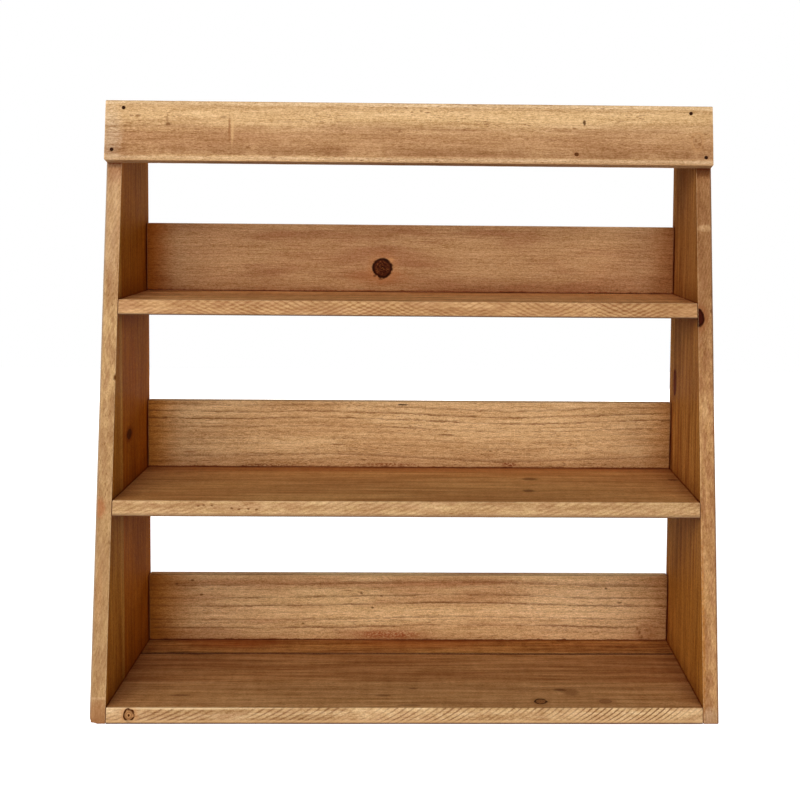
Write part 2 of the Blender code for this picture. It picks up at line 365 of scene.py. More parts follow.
LOOKS["bottom_back_rail"] = Look(
    light=(224, 183, 131), deep=(200, 151, 104), line=(118, 66, 30), ends=(174, 110, 42), end_shade_reach=68,
    bands=((6, 12, 3, (176, 110, 68), 0.5), (36, 49, 2, (232, 190, 138), 0.45)),
    lines=(
        (12, 6, 1.2, 0.55), (17, 4, 0.9, 0.2), (26, 3.6, 0.9, 0.7), (35, 3.6, 0.9, 0.75), (43, 3, 0.8, 0.2),
        (50.5, 3, 0.9, 0.6), (54, 3, 0.8, 0.3), (59.5, 3.4, 1.1, 0.75), (65, 3, 0.8, 0.25)),
    jitter=2.4, wander=2.5, sag=(330, 150, 4), torn_foot=1.6,
    marks=(
        Mark((505, 36, 0), (120, 60, 20), (238, 199, 149), 0.6, "broad"),
        *specks(*((*row, PIT, 0.8) for row in (
            (30, 10, 2.2, 1.2), (47, 6, 2.2, 1.2), (57, 22, 2.4, 1.2), (232, 20, 2, 1.3), (254, 23, 2.2, 1.2),
            (244, 36, 1.8, 1.2), (168, 54, 1.8, 1.2), (501, 14, 1.8, 1.2), (516, 30, 3, 1)))),
        Mark((262, 66, 0), (46, 6, 2), (164, 84, 48), 0.6, "torn"),
        *specks(*((along, across, 1.7, 2.4, (122, 70, 36), 0.65)
                  for along, across in ((536.5, 59), (539, 63.5), (541.5, 68)))),
        *specks((547, 60.5, 4, 1.4, (128, 76, 40), 0.55)),
    ),
    knots=(
        Knot((545, 64, 0), (7, 8), (196, 142, 94), (118, 70, 38), (178, 118, 72),
             push=0.5, strength=0.3, outline=0.25),
    ),
)
LOOKS["bottom_shelf_front_board"] = Look(
    light=(196, 138, 84), deep=(170, 110, 62), line=(116, 68, 34),
    edge=((224, 189, 141), (202, 162, 117)), pale_foot=0.6, lip=(122, 92, 68), lip_reach=1.9,
    bands=(
        (99, 200, 2, (208, 154, 98), 0.6), (116, 124, 2.5, (150, 94, 52), 0.35),
        # the last band is painted shade along the gap to the rear board
        (-3, 2.4, 0.7, JOINT_GAP_SHADE, 0.8)),
    ring=12, line_at=44, pith=(-340, 90), line_strength=0.3, grain=(0.26, 0.12, 0.12, 0.16, 0.08),
    saw=((0.85, 11, 1.75, 0.000066),), saw_thin=0.25,
    knots=(
        Knot((22, 183, 7), (5.2, 6.2), (196, 144, 94), (66, 26, 4),
             on_edge=True, pith=1, outline=1, outline_width=0.55),
        Knot((415, 160, 0), (6, 8), (168, 110, 62), (66, 36, 18), (160, 104, 56),
             push=0.6, outline=1, outline_width=0.4),
        Knot((478, 160, 0), (6, 6), (140, 84, 46), (116, 66, 34), (160, 100, 56),
             push=0.6, strength=0.6, outline=0.3),
    ),
    marks=(
        *specks(
            (437, 124, 8, 5, (104, 58, 28), 0.75), (447, 132, 9, 12, (140, 86, 46), 0.6),
            (64, 142, 12, 4, (120, 72, 38), 0.6), (262, 142, 8, 4, (120, 72, 38), 0.6),
            (291, 120, 5, 3, (110, 64, 34), 0.6), (289, 172, 14, 3, (128, 82, 46), 0.6),
            # the dark dashes at across 1 are painted shade in the gap to the rear board
            (60, 1, 24, 3, (56, 24, 8), 0.7), (190, 1, 16, 3, (56, 24, 8), 0.7),
            (440, 1, 150, 2.6, (56, 24, 8), 0.7), thick=3),
        # a painted highlight along the front top arris
        *specks((60, 180, 130, 2, (246, 214, 168), 0.7)),
    ),
)
LOOKS["bottom_shelf_rear_board"] = Look(
    # its band is painted shade along the gap to the front board
    light=(192, 133, 72), deep=(166, 106, 55), line=(112, 62, 28), bands=((63.8, 70, 0.7, JOINT_GAP_SHADE, 0.8),),
    ring=9, line_at=20, pith=(-200, 80), line_strength=0.3, wander=5, grain=(0.45, 0.32, 0.28, 0.22, 0.14),
    marks=specks((90, 20, 60, 30, (180, 96, 44), 0.5), (290, 24, 80, 24, (180, 100, 48), 0.4), thick=3),
)
LOOKS["middle_shelf"] = Look(
    light=(217, 159, 96), deep=(194, 133, 76), line=(128, 76, 36), bands=((-5, 40, 12, (180, 112, 62), 0.5),),
    edge=((205, 167, 119), (186, 144, 101)), lip=(142, 108, 78), lip_reach=4,
    ring=14, line_at=60, pith=(420, 110), wander=9, grain=(0.15, 0.1, 0.11, 0.16, 0.06),
    saw=((0.35, 11, 1.75, 0),),
    marks=(
        *specks((411, 82, 9, 9, (108, 58, 26), 0.65), (406, 150, 7, 8, (100, 54, 22), 0.7),
                (562, 84, 6, 7, (108, 58, 26), 0.65), thick=3),
        *(Mark((along, 230, into), (1.7, 90, 1.1), (104, 60, 26), 0.85, "edge")
          for along, into in ((83, 5), (88, 4), (96, 4.5), (115, 7), (122, 8), (131, 7.5), (139, 8))),
    ),
)
# Its tones are lighter than the lower shelves': painted light making up for the header's shade on it
LOOKS["top_shelf"] = Look(
    light=(234, 173, 111), deep=(209, 144, 88), line=(134, 82, 44),
    edge=((201, 156, 108), (178, 130, 88)), edge_calm=0.45, lip=(122, 94, 70),
    ring=13, line_at=40, pith=(-300, 100), grain=(0.28, 0.26, 0.24, 0.12, 0.1),
    saw=((0.7, 9.2, -1.6, 0), (0.6, 9.8, 1.6, 0)), saw_thin=0.6, saw_sway=5,
)
# Its tones are raised as painted light for its top face, which little light reaches
LOOKS["top_board"] = Look(
    light=(226, 180, 128), deep=(206, 158, 108), line=(142, 92, 54),
    ring=11, line_at=50, pith=(-260, 90), line_strength=0.4, grain=(0.08, 0.16, 0.16, 0.12),
)
# On both panels, light and deep are the inner faces' tones: a darker, more saturated copy of the wood,
# painted shade for the closed bays between the panels. The edge tones are the wood as lit, on the front edge
# and the outer face.
LOOKS["left_panel"] = Look(
    light=(184, 122, 46), deep=(166, 101, 32), line=(112, 62, 16),
    # The pale inner front arris here is mostly a painted highlight
    edge=((204, 165, 116), (170, 128, 87)), edge_outside=True, edge_calm=0.6, mottle=0.06, wear_and_highlight=1,
    lip=(164, 138, 112), bands=((-5, 152, 1, (172, 90, 14), 0.7), (152.5, 165, 1.5, (204, 148, 70), 0.6)),
    ring=11, line_at=80, pith=(330, 70), line_strength=0.15, wander=6, grain=(0.24, 0.18, 0.26, 0.2),
    saw=((0.14, 9, 1.75, 0),),
    knots=(
        Knot((258, 118.6, 0), (5, 12), (74, 18, 2), (56, 12, 0), (124, 50, 10),
             push=0.3, strength=0.9, halo_strength=0.7, outline=0.3, reach=5),
    ),
    marks=(
        Mark((490, 75, 0), (120, 160, 4), (166, 106, 34), 0.6, "broad"),
        Mark((130, 225, 7), (190, 60, 20), (166, 127, 86), 0.5, "edge"),
        Mark((8, 248, 7), (16, 20, 20), (166, 114, 72), 0.6, "edge"),
        Mark((23.5, 246, 7), (1.3, 20, 20), (226, 188, 144), 0.3, "edge"),
        # These two edge marks are the header's shadow, painted on the panel's front edge
        Mark((527, 146, 7), (15, 40, 30), (146, 90, 52), 0.75, "edge"),
        Mark((531, 146, 7), (4, 40, 30), (84, 40, 14), 0.75, "edge"),
        Mark((200, 210, 11), (11, 20, 6), (178, 112, 72), 0.7, "edge"),
        Mark((412, 170, 9), (34, 20, 3), (160, 112, 72), 0.6, "edge"),
        Mark((470, 150, 7), (90, 30, 20), (194, 155, 118), 0.5, "edge"),
        Mark((323.5, 186.5, 0.5), (3, 2.5, 2), (104, 56, 24)),
        Mark((120, 226, 10), (34, 20, 4), (176, 124, 80), 0.4, "edge"),
        *RAIL_END_STRIPS,
    ),
    nicks=(Nick((323.5, 187, 0), (3.2, 2.2, 2.2), 1.6), Nick((0, 249, 15), (6, 8, 6), 2.4)),
)
# As on the left panel, light and deep are a painted shade copy for the inner face, and edge is the wood as
# lit
LOOKS["right_panel"] = Look(
    light=(191, 130, 62), deep=(170, 107, 47), line=(112, 64, 24),
    edge=((195, 148, 98), (163, 113, 73)), edge_outside=True, edge_calm=0.45, mottle=0.12, lip=(124, 90, 64),
    ring=13, line_at=60, pith=(-260, 80), line_strength=0.15, wander=6, grain=(0.32, 0.2, 0.2, 0.24),
    saw=((0.16, 8, -1.75, 0),),
    knots=(
        Knot((304.6, 37, 0), (14, 9), (112, 36, 2), (84, 22, 0), (134, 66, 18),
             push=0.4, strength=0.9, reach=5),
        Knot((384.8, 175, -0.4), (8.7, 6.4), (62, 20, 8), (44, 8, 0), (140, 82, 46),
             on_edge=True, outline_width=0.35, halo_strength=0.6),
    ),
    marks=(
        Mark((500, 75, 0), (130, 160, 4), (164, 109, 58), 0.6, "broad"),
        Mark((80, 120, 0), (110, 220, 4), (186, 118, 40), 0.6, "broad"),
        Mark((5, 248, 9), (11, 20, 12), (204, 170, 132), 0.6, "edge"),
        Mark((470, 150, 7), (190, 60, 20), (140, 95, 60), 0.75, "edge"),
        # the header's shadow, painted on the panel's front edge
        Mark((530, 146, 7), (7, 40, 30), (84, 40, 14), 0.75, "edge"),
        Mark((407, 171, 14), (4, 3, 2)), Mark((392, 174, 14), (4, 3, 2)),
        Mark((473, 158, 8), (4, 3, 9), (200, 158, 114), 0.6, "edge"),
        Mark((296, 192, 6), (14, 20, 3), (214, 170, 118), 0.6, "edge"),
        *RAIL_END_STRIPS,
    ),
)


# Where the boards are, from the frame

lowest_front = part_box("bottom_shelf_front_board")[0]
highest_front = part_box("top_board")[0]
RAKE = math.atan2(highest_front.y - lowest_front.y, highest_front.z - lowest_front.z)
SLOPE = math.tan(RAKE)
UP_THE_RAKE = Vector((0, math.sin(RAKE), math.cos(RAKE)))
OUT_OF_THE_RAKE = Vector((0, -math.cos(RAKE), math.sin(RAKE)))


@dataclass
class Board:
    """One board's own frame and size. Its width is width + taper * along + bevel * into the wood."""
    node: str
    origin: Vector
    grain: Vector
    across: Vector
    inward: Vector
    length: float
    width: float
    thickness: float
    taper: float = 0.0
    bevel: float = 0.0
    seed: float = 0.0

    def __post_init__(self):
        self.look = LOOKS[self.node]
        self.arris = ARRISES.get(self.node, ARRIS)

    def width_at(self, along, depth):
        return self.width + self.taper * along + self.bevel * depth

    def to_rack(self, along, across, depth):
        return self.origin + (self.grain * along + self.across * across + self.inward * depth) * MM


def framed_board(node, grain, across, inward, longer=0.0, taper=0.0, bevel=0.0):
    """A board from the corner where its three axes start, made longer at both ends by some mm."""
    (start, end), (near, far), (face, back) = [reach_of(node, axis) for axis in (grain, across, inward)]
    start -= longer * MM
    end += longer * MM
    origin = grain * start + across * near + inward * face
    if taper or bevel:
        # The raked front edge at the height of that corner
        far = reach_of(node, OUT_OF_THE_RAKE)[1] / math.cos(RAKE) - origin.z * SLOPE
    return Board(node, origin, grain, across, inward,
                 (end - start) / MM, (far - near) / MM, (back - face) / MM, taper, bevel)


BOARDS = [framed_board("header_board", RIGHT, -UP_THE_RAKE, -OUT_OF_THE_RAKE)]
BOARDS += [framed_board(name, RIGHT, -UP, BACK, longer=RAIL_LONGER) for name in RAILS]
BOARDS += [framed_board(name, RIGHT, -BACK, -UP, bevel=SLOPE) for name in RAKED_SHELVES]
BOARDS += [framed_board("bottom_shelf_rear_board", RIGHT, -BACK, -UP)]
BOARDS += [framed_board("left_panel", UP, -BACK, -RIGHT, taper=-SLOPE)]
BOARDS += [framed_board("right_panel", UP, -BACK, RIGHT, taper=-SLOPE)]
for number, board in enumerate(BOARDS, start=1):
    board.seed = number * SEED_STEP


# Board shapes


def edge_lines(arris):
    """Distances from an edge that become even steps round its eased arris, and one just beyond it."""
    eighth = math.radians(45)
    lines = [arris * (1 - math.tan(eighth * step / ARRIS_STEPS)) for step in range(ARRIS_STEPS, -1, -1)]
    return lines + [arris + ARRIS_BEYOND]


def axis_lines(length, arris, cell, fine=(), beside_far=()):
    """Lines of cells along one axis, as (share of the length, offset) pairs."""
    near = edge_lines(arris)
    far = near + list(beside_far)
    start = near[-1]
    stop = far[-1]
    count = max(1, round((length - start - stop) / cell))
    lines = [(0, step) for step in near]
    for index in range(1, count):
        share = index / count
        lines.append((share, start * (1 - share) - stop * share))
    lines += [(1, -step) for step in far]
    for low, high in fine:
        low = max(low, start)
        high = min(high, length - stop)
        if low < high:
            lines = [line for line in lines if not low < line[0] * length + line[1] < high]
            steps = max(1, round((high - low) / FINE_CELL))
            lines += [(0, low + (high - low) * step / steps) for step in range(steps + 1)]
    return sorted(set(lines), key=lambda line: line[0] * length + line[1])


def fade(value):
    """1 at 0 and 0 from 1 on, smoothly."""
    left = max(0.0, 1 - value * value)
    return left * left


def knot_relief(knot, along, across):
    """A knot stands a little proud, in a shallow ring where it shrank from the wood around it."""
    far = math.hypot((along - knot.place[0]) / knot.size[0], (across - knot.place[1]) / knot.size[1])
    return knot.dome * (fade(far / DOME_END) - RING_DEPTH * fade((far - 1) / RING_WIDTH))


def nick_relief(nick, place):
    far = math.dist([p / s for p, s in zip(place, nick.size)], [p / s for p, s in zip(nick.place, nick.size)])
    ragged = 1 + NICK_RAGGED * noise.noise(Vector(place) * NICK_WAVE)
    return -nick.depth * ragged * fade(far)


def relief(board, place):
    """How far the surface lies above its plane at a place, in mm."""
    along, across, depth = place
    wave = Vector((along / PLANING_WAVE[0] + board.seed, across / PLANING_WAVE[1], depth / PLANING_WAVE[2]))
    height = -PLANING_DEPTH * (0.5 + 0.5 * noise.noise(wave))
    for knot in board.look.knots:
        if knot.dome and depth < 1:
            height += knot_relief(knot, along, across)
    for nick in board.look.nicks:
        height += nick_relief(nick, place)
    return height


def eased_radius(board, place):
    """The radius of the nearest eased edge, which varies along the board and is torn at a rail's foot."""
    along, across, depth = place
    wave = Vector((along / ARRIS_WAVE[0], across / ARRIS_WAVE[1], depth / ARRIS_WAVE[2] + board.seed))
    radius = board.arris * (1 + ARRIS_SWING * noise.noise(wave))
    if board.look.torn_foot and across > board.width / 2 and depth < board.thickness / 2:
        coarse = noise.noise(Vector((along / TEAR_WAVES[0], board.seed, 0)))
        fine = noise.noise(Vector((along / TEAR_WAVES[1], board.seed, 7)))
        radius += board.look.torn_foot * max(0.0, coarse + 0.5 * fine)
    return radius


def shaped_place(board, lines, index):
    """Place and edge wear of one point on the board's surface."""
    (share_a, offset_a), (share_b, offset_b), (share_c, offset_c) = [axis[i] for axis, i in zip(lines, index)]
    along = share_a * board.length + offset_a
    depth = share_c * board.thickness + offset_c
    width = board.width_at(along, depth)
    across = share_b * width + offset_b
    flat = (along, across, depth)
    radius = eased_radius(board, flat)
    sizes = (board.length, width, board.thickness)
    inner = Vector([max(radius, min(size - radius, part)) for part, size in zip(flat, sizes)])
    outward = (Vector(flat) - inner).normalized()
    place = inner + outward * (radius + relief(board, flat))
    # A raked edge stays on its slope when its corner is eased
    if share_b > 0.5:
        place.y += board.width_at(place.x, place.z) - width
    wear = (1 - max(abs(part) for part in outward)) / (1 - math.sqrt(0.5))
    return place, wear


def stretches(items, axis, margin):
    """The stretch of an axis that each item takes up, with a margin in sizes of the item."""
    halves = [item.size[axis] * margin for item in items]
    return [(item.place[axis] - half, item.place[axis] + half) for item, half in zip(items, halves)]


def finished_mesh(shape, name):
    mesh = bpy.data.meshes.new(name)
    shape.to_mesh(mesh)
    shape.free()
    return mesh


def placed(name, data):
    """A new object in the scene."""
    item = bpy.data.objects.new(name, data)
    bpy.context.scene.collection.objects.link(item)
    return item


def board_mesh(board):
    """A closed mesh of one board, with eased edges, planing waves, nicks and standing knots."""
    standing = [knot for knot in board.look.knots if knot.dome]
    along_fine = stretches(standing, 0, KNOT_MARGIN) + stretches(board.look.nicks, 0, NICK_MARGIN)
    across_fine = stretches(standing, 1, KNOT_MARGIN)
    widest = board.arris * (1 + ARRIS_SWING) + board.look.torn_foot
    raked = RAKED_EDGE_LINES if board.taper or board.bevel else ()
    lines = (
        axis_lines(board.length, widest, CELL_ALONG, along_fine),
        axis_lines(board.width, widest, CELL_ACROSS, across_fine, raked),
        axis_lines(board.thickness, widest, CELL_THROUGH),
    )
    counts = [len(axis) for axis in lines]
    shape = bmesh.new()
    wear_layer = shape.verts.layers.float.new("wear")
    points = {}

    def point(index):
        if index not in points:
            place, wear = shaped_place(board, lines, index)
            points[index] = shape.verts.new(board.to_rack(*place))
            points[index][wear_layer] = wear
        return points[index]

    for axis in range(3):
        first, second = [other for other in range(3) if other != axis]
        cells = product((0, counts[axis] - 1), range(counts[first] - 1), range(counts[second] - 1))
        for end, i, j in cells:
            corners = []
            for di, dj in ((0, 0), (1, 0), (1, 1), (0, 1)):
                index = [end, end, end]
                index[first] = i + di
                index[second] = j + dj
                corners.append(point(tuple(index)))
            shape.faces.new(corners)
    bmesh.ops.recalc_face_normals(shape, faces=shape.faces)
    return finished_mesh(shape, board.node + "_planed")


def nail_holes(board, nails, out):
    """One mesh of the holes that nails make in a board's outer face."""
    shape = bmesh.new()
    turn = UP.rotation_difference(out).to_matrix().to_4x4()
    side = out.cross(RIGHT) if abs(out.x) < 0.5 else UP
    other = out.cross(side)
    face = reach_of(board.node, out)[1]
    for node in nails:
        low, high = reach_of(node, side)
        left, right = reach_of(node, other)
        centre = side * (low + high) / 2 + other * (left + right) / 2
        centre += out * (face + (HOLE_OVERRUN - NAIL_HOLE_DEPTH) / 2)
        radius = (high - low) / 2 + NAIL_CLEARANCE
        bmesh.ops.create_cone(
            shape, cap_ends=True, segments=NAIL_HOLE_SIDES, radius1=radius, radius2=radius,
            depth=HOLE_OVERRUN + NAIL_HOLE_DEPTH, matrix=Matrix.Translation(centre) @ turn)
    return finished_mesh(shape, board.node + "_holes")


def drill(piece, holes):
    """Takes the holes out of a board's mesh."""
    cutter = placed(piece.name + "_cutter", holes)
    cut = piece.modifiers.new("holes", "BOOLEAN")
    cut.operation = "DIFFERENCE"
    cut.object = cutter
    bpy.context.view_layer.update()
    graph = bpy.context.evaluated_depsgraph_get()
    mesh = bpy.data.meshes.new_from_object(piece.evaluated_get(graph), depsgraph=graph)
    piece.modifiers.clear()
    piece.data = mesh
    bpy.data.objects.remove(cutter)


# Shader nodes


class Value:
    """A shader node's output, which can be added, taken away, multiplied and divided like a number."""

    def __init__(self, socket):
        self.socket = socket

    def __add__(self, other):
        return formula("ADD", self, other)

    def __sub__(self, other):
        return formula("SUBTRACT", self, other)

    def __rsub__(self, other):
        return formula("SUBTRACT", other, self)

    def __mul__(self, other):
        return formula("MULTIPLY", self, other)

    def __truediv__(self, other):
        return formula("DIVIDE", self, other)


def feed(sockets, inputs):
    """Sets a node's sockets to numbers, to colours or to other nodes' outputs."""
    for name, value in inputs.items():
        if isinstance(value, Value):
            value.socket.id_data.links.new(value.socket, sockets[name])
        else:
            sockets[name].default_value = value


def add_node(kind, inputs, output=0, tree=None, **settings):
    """A new node's output. The node joins the tree of its inputs, where none is given."""
    tree = tree or next(value.socket.id_data for value in inputs.values() if isinstance(value, Value))
    made = tree.nodes.new("ShaderNode" + kind)
    for name, value in settings.items():
        setattr(made, name, value)
    feed(made.inputs, inputs)
    return Value(made.outputs[output])


def formula(operation, *values):
    return add_node("Math", dict(enumerate(values)), operation=operation)


def vector(operation, first, second=(0, 0, 0)):
    output = 1 if operation in ("DOT_PRODUCT", "LENGTH") else 0
    return add_node("VectorMath", {0: first, 1: second}, output, operation=operation)


def ramp(value, low, high, start=0, end=1):
    """Start below low, end above high, with a smooth step between them."""
    inputs = {"Value": value, "From Min": low, "From Max": high, "To Min": start, "To Max": end}
    return add_node("MapRange", inputs, interpolation_type="SMOOTHSTEP")


def bell(value, centre, width):
    """1 at the centre, falling to 0 as a bell does."""
    far = (value - centre) / width
    return formula("POWER", math.e, far * far * -1)


def display(red, green, blue):
    """A colour as a screen shows it, 0 to 255, as the linear colour that shaders take."""
    linear = []
    for channel in (red, green, blue):
        share = channel / 255
        linear.append(share / 12.92 if share <= 0.04045 else ((share + 0.055) / 1.055) ** 2.4)
    return (*linear, 1)


def mix(share, first, second, blend="MIX"):
    return add_node("Mix", {0: share, 6: first, 7: second}, 2, data_type="RGBA", blend_type=blend)


def between(share, tones):
    """From the first of two tones to the second."""
    return mix(share, display(*tones[0]), display(*tones[1]))


def tint(share, colour, tone, blend="MIX"):
    """A colour turned towards a tone."""
    return mix(share, colour, display(*tone), blend)


def bump(height, strength, distance):
    return add_node("Bump", {"Height": height, "Strength": strength, "Distance": distance})


def new_material(name):
    """A material, and its tree of nodes."""
    material = bpy.data.materials.new(name)
    material.use_nodes = True
    return material, material.node_tree


def finish_material(material, inputs):
    feed(material.node_tree.nodes["Principled BSDF"].inputs, inputs)
    return material


# Materials


class Wood:
    """A board's wood: where each place is on the board, and the patterns there."""

    def __init__(self, board, tree):
        self.board = board
        self.look = board.look
        self.tree = tree
        self.made = {}
        local = vector("SUBTRACT", add_node("TexCoord", {}, "Object", tree), tuple(board.origin))
        axes = (board.grain, board.across, board.inward)
        self.parts = [vector("DOT_PRODUCT", local, tuple(axis / MM)) for axis in axes]
        self.along, self.across, self.depth = self.parts
        self.place = add_node("CombineXYZ", dict(enumerate(self.parts)))
        self.knots = [(knot, self.knot_distance(knot)) for knot in self.look.knots]
        edge = self.along * board.taper + self.depth * board.bevel
        self.on_edge = ramp(self.across - edge - board.width, *EDGE_FADE)

    def noise(self, pattern, further=0):
        """A pattern's noise, which is made once. Further shifts it more."""
        key = (pattern, further)
        if key not in self.made:
            shift = self.board.seed + pattern.shift + further
            scaled = vector("DIVIDE", self.place, pattern.size)
            moved = vector("ADD", scaled, (shift, shift * 1.7, shift * 2.3))
            inputs = {"Vector": moved, "Scale": 1, "Detail": pattern.detail, "Roughness": pattern.roughness}
            self.made[key] = add_node("TexNoise", inputs)
        return self.made[key]

    def swing(self, pattern, further=0):
        """A pattern as a number round 0."""
        return self.noise(pattern, further) - 0.5

    def spread(self, pattern, start=0, end=1, further=0):
        """A pattern as a number from start to end."""
        return ramp(self.noise(pattern, further), pattern.low, pattern.high, start, end)

    def knot_distance(self, knot):
        """Distance from a knot's heart, 1 at its rim, which is a little out of round."""
        other = 2 if knot.on_edge else 1
        length, width = knot.size
        along = (self.along - knot.place[0]) / length
        across = (self.parts[other] - knot.place[other]) / width
        out_of_round = self.swing(Pattern((length, width, width), 2, 0.5)) * KNOT_ROUGH
        return formula("SQRT", along * along + across * across) + out_of_round

    def openness(self, reach):
        """How open the space round a place is, from 0 deep in a joint to 1."""
        return add_node("AmbientOcclusion", {"Distance": reach}, "AO", self.tree, samples=JOINT_SAMPLES)

    def far_strip(self, start, end, strength):
        """A strip along the face away from the best one, from start to end mm short of it."""
        thickness = self.board.thickness
        return ramp(self.depth, thickness - start, thickness - end, 0, strength)


def bent_across(wood):
    """Distance across the board as the growth lines see it: they wander, sag and pass round knots."""
    look = wood.look
    bent = wood.across + wood.swing(SLOW_BENDS) * (look.wander * 2)
    bent = bent + wood.swing(QUICK_BENDS) * look.jitter
    bent = bent + wood.swing(FINE_BENDS) * (look.jitter * 0.7)
    if look.sag[2]:
        bent = bent + bell(wood.along, look.sag[0], look.sag[1]) * look.sag[2]
    for knot, far in wood.knots:
        if not knot.on_edge:
            bent = bent - (wood.across - knot.place[1]) * (bell(far, 0, 1.7) * knot.push)
    return bent


def placed_lines(wood):
    """Share of dark late wood, from growth lines that are placed one by one."""
    bent = bent_across(wood) + wood.depth * wood.look.lean
    late = None
    for number, (line, soft, sharp, strength) in enumerate(wood.look.lines):
        rising = ramp(bent, line - soft, line)
        falling = ramp(bent, line, line + sharp, strength, 0)
        dark = rising * rising * falling * wood.spread(LINE_BREAKS, 0.2, 1, number)
        late = formula("MAXIMUM", late, dark) if late else dark
    return late


def ring_lines(wood):
    """Share of dark late wood, from even rings round the tree's centre."""
    look = wood.look
    from_pith = bent_across(wood) - look.pith[0]
    below_pith = wood.depth - look.pith[1]
    radius = formula("SQRT", from_pith * from_pith + below_pith * below_pith)
    first = math.hypot(look.line_at - look.pith[0], look.pith[1])
    turn = (radius - first) / look.ring
    share = formula("FRACT", turn)
    rising = ramp(share, 1 - look.line_share, 0.94)
    falling = ramp(share, 0.955, 1, look.line_strength, 0)
    ring = formula("FLOOR", turn) + wood.board.seed
    of_ring = add_node("TexWhiteNoise", {"W": ring}, noise_dimensions="1D")
    return rising * falling * (ramp(of_ring, 0, 1, 0.45, 1) * wood.spread(RING_BREAKS, 0.35, 1))


def toned(wood):
    """The board's slow changes of tone, and its bands."""
    colour = between(wood.spread(SLOW_TONES), (wood.look.light, wood.look.deep))
    wavy = wood.across + wood.swing(BAND_WAVES) * BAND_SWAY
    for start, end, soft, tone, strength in wood.look.bands:
        where = wood.across if soft < 1 else wavy
        enter = ramp(where, start - soft, start + soft)
        leave = ramp(where, end - soft, end + soft, 1, 0)
        colour = tint(enter * leave * strength, colour, tone)
    return colour


def edged(wood, colour):
    """The colour with a raked edge's own tones, and how plain the wood is at each place."""
    look = wood.look
    where = wood.on_edge
    calm = where * look.edge_calm
    if look.edge:
        share = wood.spread(BLOTCHES)
        if look.edge_outside:
            outside = ramp(wood.depth, *OUTSIDE_FADE)
            share = share * where + wood.spread(LONG_TONES) * (1 - where)
            where = formula("MAXIMUM", where, outside)
            calm = formula("MAXIMUM", calm, outside * OUTSIDE_CALM)
        colour = mix(where, colour, between(share, look.edge))
    return colour, calm


def marked(wood, colour, kinds):
    """Marks of some kinds, with ragged outlines."""
    for mark in wood.look.marks:
        if mark.kind in kinds:
            local = vector("DIVIDE", vector("SUBTRACT", wood.place, mark.place), mark.size)
            far = vector("LENGTH", local) + wood.swing(RAGGED)
            share = ramp(far, 0.45, 1.2, 1, 0) * mark.strength
            if mark.kind == "edge":
                share = share * wood.on_edge
            # Torn marks are painted shade in the gap under a rail's torn foot, broken up along it
            if mark.kind == "torn":
                share = share * ramp(wood.noise(RAGGED), 0.4, 0.6, 0.1, 1.4)
            colour = tint(share, colour, mark.tone)
    return colour


def shaded_ends(wood, colour):
    """Painted shade at the board's two ends, where the panels shade the rails, near the best face only."""
    near_face = ramp(wood.depth, *END_SHADE_DEPTH, 1, 0)
    for from_end, strength in zip((wood.along, wood.board.length - wood.along), END_SHADE_SHARES):
        shade = ramp(from_end, 0, wood.look.end_shade_reach, strength, 0)
        colour = tint(shade * near_face, colour, wood.look.ends)
    return colour


def grained(wood, colour, calm):
    """Broad figure, streaks, fibres, speckle and clouds, light and dark round the board's tone."""
    figure, *finer = wood.look.grain
    factor = wood.spread(FIGURE, 1 - figure, 1 + figure)
    for pattern, strength in zip((STREAKS, FIBRES, SPECKLE, CLOUDS), finer):
        factor = factor + wood.spread(pattern, -strength, strength)
    factor = (factor - 1) * (1 - calm) + 1
    mottle = wood.look.mottle
    if mottle:
        factor = factor + wood.spread(CURLS, -mottle, mottle) * wood.on_edge
    # Darker wood is redder
    factors = {index: formula("POWER", factor, power) for index, power in enumerate(FACTOR_POWERS)}
    return mix(1, colour, add_node("CombineColor", factors), "MULTIPLY")


def sawn(wood, colour):
    """Slanting saw marks on a raked edge, which may close up towards one end."""
    along = wood.along
    bow = wood.depth * wood.depth * SAW_BOW
    for number, (strength, spacing, slant, closing) in enumerate(wood.look.saw):
        slanted = along + (wood.depth + bow) * slant
        slanted = slanted + wood.swing(RAGGED) * SAW_ROUGH
        slanted = slanted + wood.swing(SAW_STRAYS, number) * (wood.look.saw_sway * 2)
        stripe = formula("SINE", (slanted * (1 / spacing) + along * along * closing) * (2 * math.pi))
        patchy = wood.spread(SAW_PATCHES, 0.25, 1, 9 * number)
        dark = ramp(stripe, wood.look.saw_thin, 0.95) * wood.on_edge * patchy
        dark = dark * ramp(along, *SAW_GROWS, 0.75, 1)
        colour = tint(dark * strength, colour, wood.look.line)
        light = ramp(stripe, -0.95, -0.3, 1, 0) * wood.on_edge * patchy
        colour = tint(light * (strength * 0.35), colour, SAWN_LIGHT)
    return colour


def knotted(wood, colour):
    """Knots: a ringed and cracked heart, a broken dark outline, and warmer wood round it."""
    for number, (knot, far) in enumerate(wood.knots):
        if knot.on_edge:
            there = ramp(wood.across - knot.place[1], -6, -2.5)
        else:
            there = ramp(wood.depth, knot.reach, knot.reach + 3, 1, 0)
        halo = ramp(far, 1, 2.1, knot.halo_strength, 0) * ramp(far, 0.9, 1.1)
        inside = ramp(far, 0.94, 1.06, knot.strength, 0)
        rings = ramp(formula("SINE", far * KNOT_RINGS), 0.2, 1, 0, 0.55)
        pith = ramp(far, 0.12, 0.3, knot.pith, 0)
        rim = ramp(far, 0.94 - knot.outline_width, 0.94) * ramp(far, 1, 1.16, 1, 0)
        rim = rim * wood.spread(OUTLINE_BREAKS, 0.25, 1, number)
        crack = formula("ABSOLUTE", wood.swing(CRACKS, 3 * number))
        cracked = ramp(crack, 0, 0.03, 0.5, 0) * ramp(far, 0.6, 0.85, 1, 0)
        core = between(formula("MAXIMUM", rings, pith), (knot.heart, knot.rim))
        core = tint(cracked * knot.crack, core, knot.halo)
        colour = tint(halo * there, colour, knot.halo)
        colour = mix(inside * there, colour, core)
        colour = tint(rim * there * knot.outline, colour, knot.rim)
    return colour


